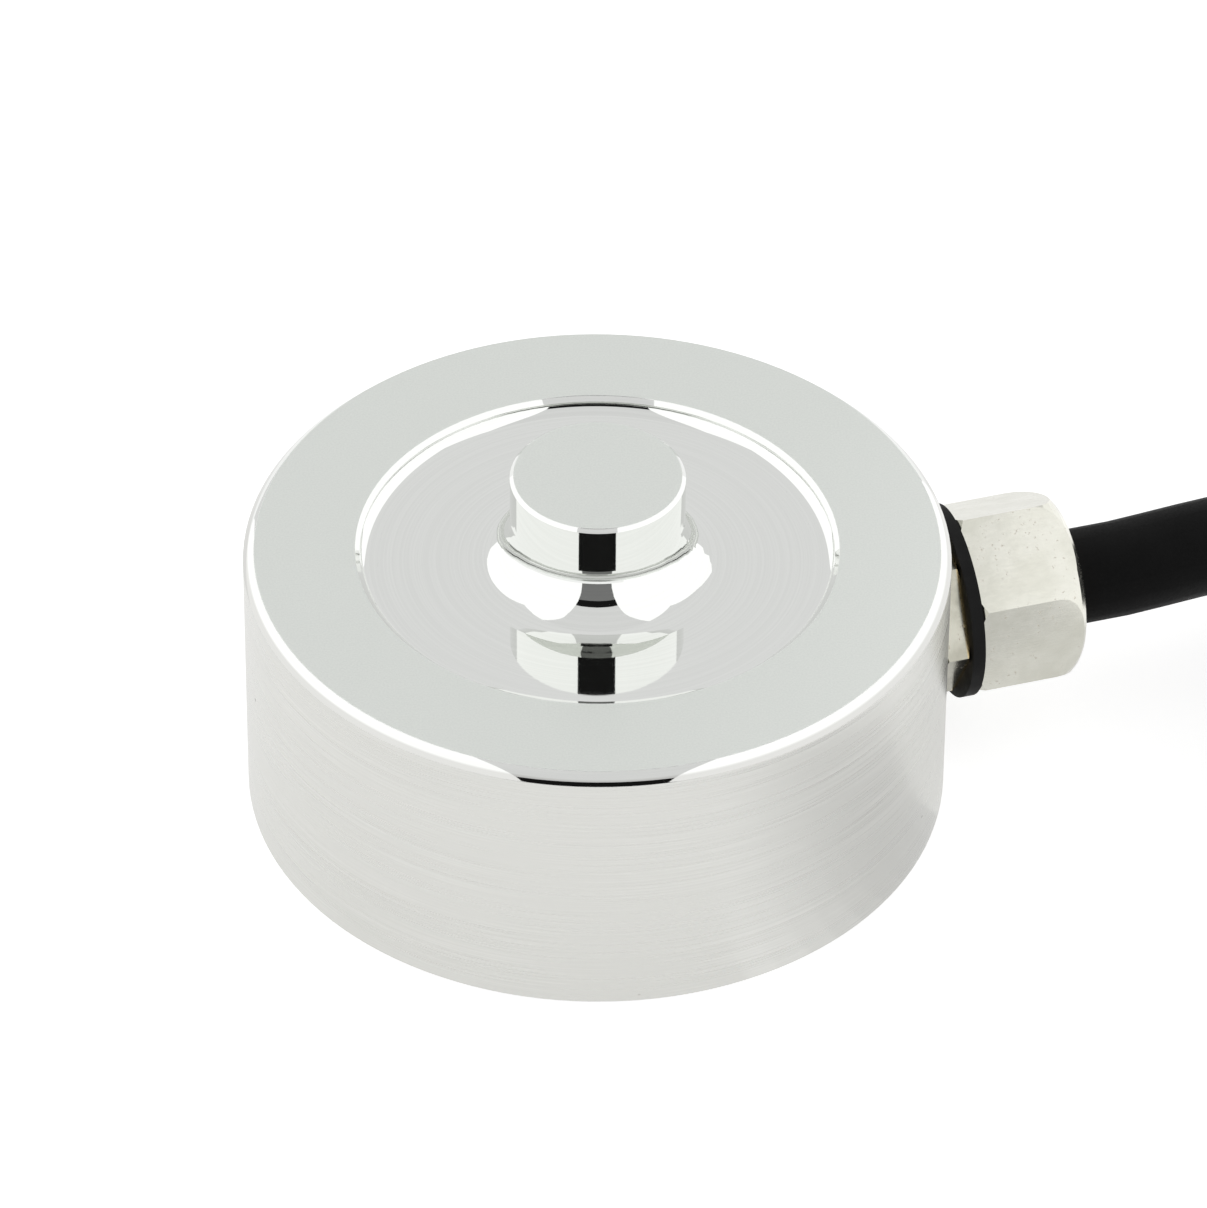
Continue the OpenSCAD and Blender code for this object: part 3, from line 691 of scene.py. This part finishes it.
def floor_material():
    """White to the camera, a little lower in reflections, and still darker where the part shades it."""
    material = bpy.data.materials.new("floor")
    material.use_nodes = True
    tree = material.node_tree
    tree.nodes.clear()
    base = tree.nodes.new("ShaderNodeBsdfDiffuse")
    base.inputs["Color"].default_value = (*FLOOR_COLOUR, 1)
    glow = tree.nodes.new("ShaderNodeEmission")
    glow.inputs["Color"].default_value = (1, 1, 1, 1)
    rays = tree.nodes.new("ShaderNodeLightPath")
    shares = []
    for output, level in (("Is Camera Ray", FLOOR_GLOW_SEEN), ("Is Glossy Ray", FLOOR_GLOW_MIRRORED)):
        share = tree.nodes.new("ShaderNodeMath")
        share.operation = "MULTIPLY"
        share.inputs[1].default_value = level
        tree.links.new(rays.outputs[output], share.inputs[0])
        shares.append(share)
    both = tree.nodes.new("ShaderNodeMath")
    both.operation = "ADD"
    tree.links.new(shares[0].outputs[0], both.inputs[0])
    tree.links.new(shares[1].outputs[0], both.inputs[1])
    tree.links.new(both.outputs[0], glow.inputs["Strength"])
    added = tree.nodes.new("ShaderNodeAddShader")
    tree.links.new(base.outputs[0], added.inputs[0])
    tree.links.new(glow.outputs[0], added.inputs[1])
    out = tree.nodes.new("ShaderNodeOutputMaterial")
    tree.links.new(added.outputs[0], out.inputs[0])
    return material


def make_floor():
    mesh = bpy.data.meshes.new("floor")
    h = FLOOR_HALF
    mesh.from_pydata([(-h, -h, 0), (h, -h, 0), (h, h, 0), (-h, h, 0)], [], [(0, 1, 2, 3)])
    floor = link(bpy.data.objects.new("floor", mesh))
    floor.location.z = -0.02 * MM
    mesh.materials.append(floor_material())


def panel(name, start, end, half_width, level):
    """A curved panel of the tent about the X axis, which only reflections see."""
    steps = 24
    verts = []
    for k in range(steps + 1):
        turn = math.radians(start + (end - start) * k / steps)
        for x in (-half_width, half_width):
            verts.append((x, -TENT_R * math.cos(turn), TENT_R * math.sin(turn)))
    faces = [(2 * k, 2 * k + 1, 2 * k + 3, 2 * k + 2) for k in range(steps)]
    mesh = bpy.data.meshes.new("panel_" + name)
    mesh.from_pydata(verts, [], faces)
    made = link(bpy.data.objects.new("panel_" + name, mesh))
    mesh.materials.append(glow_material("panel_" + name, (1, 1, 1), level))
    show_to_reflections(made)


def make_grey_patch():
    """A greyer fan of floor, right of the part, that the right of its side reflects."""
    start, end, inner, outer = GREY_FAN
    for k, level in enumerate(GREY_LEVELS):
        width = (end - start) / len(GREY_LEVELS)
        corners = []
        for turn, r in ((k, inner), (k + 1, inner), (k + 1, outer), (k, outer)):
            a = math.radians(start + turn * width)
            corners.append((r * math.sin(a), -r * math.cos(a), 0))
        name = "grey_fan_%d" % k
        mesh = bpy.data.meshes.new(name)
        mesh.from_pydata(corners, [], [(0, 3, 2, 1)])
        mesh.materials.append(glow_material(name, (1, 1, 1), level))
        show_to_reflections(link(bpy.data.objects.new(name, mesh)))


def make_coil_screen():
    """A card beyond the gland that keeps the coil's image out of the polished steel."""
    x, left, right, top = COIL_SCREEN
    mesh = bpy.data.meshes.new("coil_screen")
    mesh.from_pydata([(x, left, 0), (x, right, 0), (x, right, top), (x, left, top)], [], [(0, 1, 2, 3)])
    screen = link(bpy.data.objects.new("coil_screen", mesh))
    mesh.materials.append(glow_material("coil_screen", (1, 1, 1), SKY_MIRRORED))
    show_to_reflections(screen)


def show_to_reflections(obj):
    obj.visible_camera = False
    obj.visible_diffuse = False
    obj.visible_shadow = False
    obj.visible_transmission = False


def make_light():
    world = bpy.data.worlds.new("studio")
    bpy.context.scene.world = world
    world.use_nodes = True
    tree = world.node_tree
    sky = tree.nodes["Background"]
    sky.inputs["Color"].default_value = (1, 1, 1, 1)
    rays = tree.nodes.new("ShaderNodeLightPath")
    level = tree.nodes.new("ShaderNodeMapRange")
    level.inputs["To Min"].default_value = SKY_LEVEL
    level.inputs["To Max"].default_value = SKY_MIRRORED
    tree.links.new(rays.outputs["Is Glossy Ray"], level.inputs["Value"])
    tree.links.new(level.outputs[0], sky.inputs["Strength"])
    for name, (start, end, half_width, glow) in TENT_PANELS.items():
        panel(name, start, end, half_width, glow)
    make_grey_patch()
    make_coil_screen()
    bpy.context.scene.view_settings.view_transform = "Standard"


make_camera()
route = cable_route()
cable = tube("sensor_cable", route, CABLE_R, 6)
finish = finishes()
dress_nodes(finish)
give(cable, finish["cable_jacket"], "cable_jacket", "cable_lead", "cable_coil", "cable_tail")
make_groove_fillet(finish)
cores = make_cores(finish)
ties = [make_tie(node, angle, finish) for node, angle in TIE_ANGLES.items()]
make_floor()
make_light()
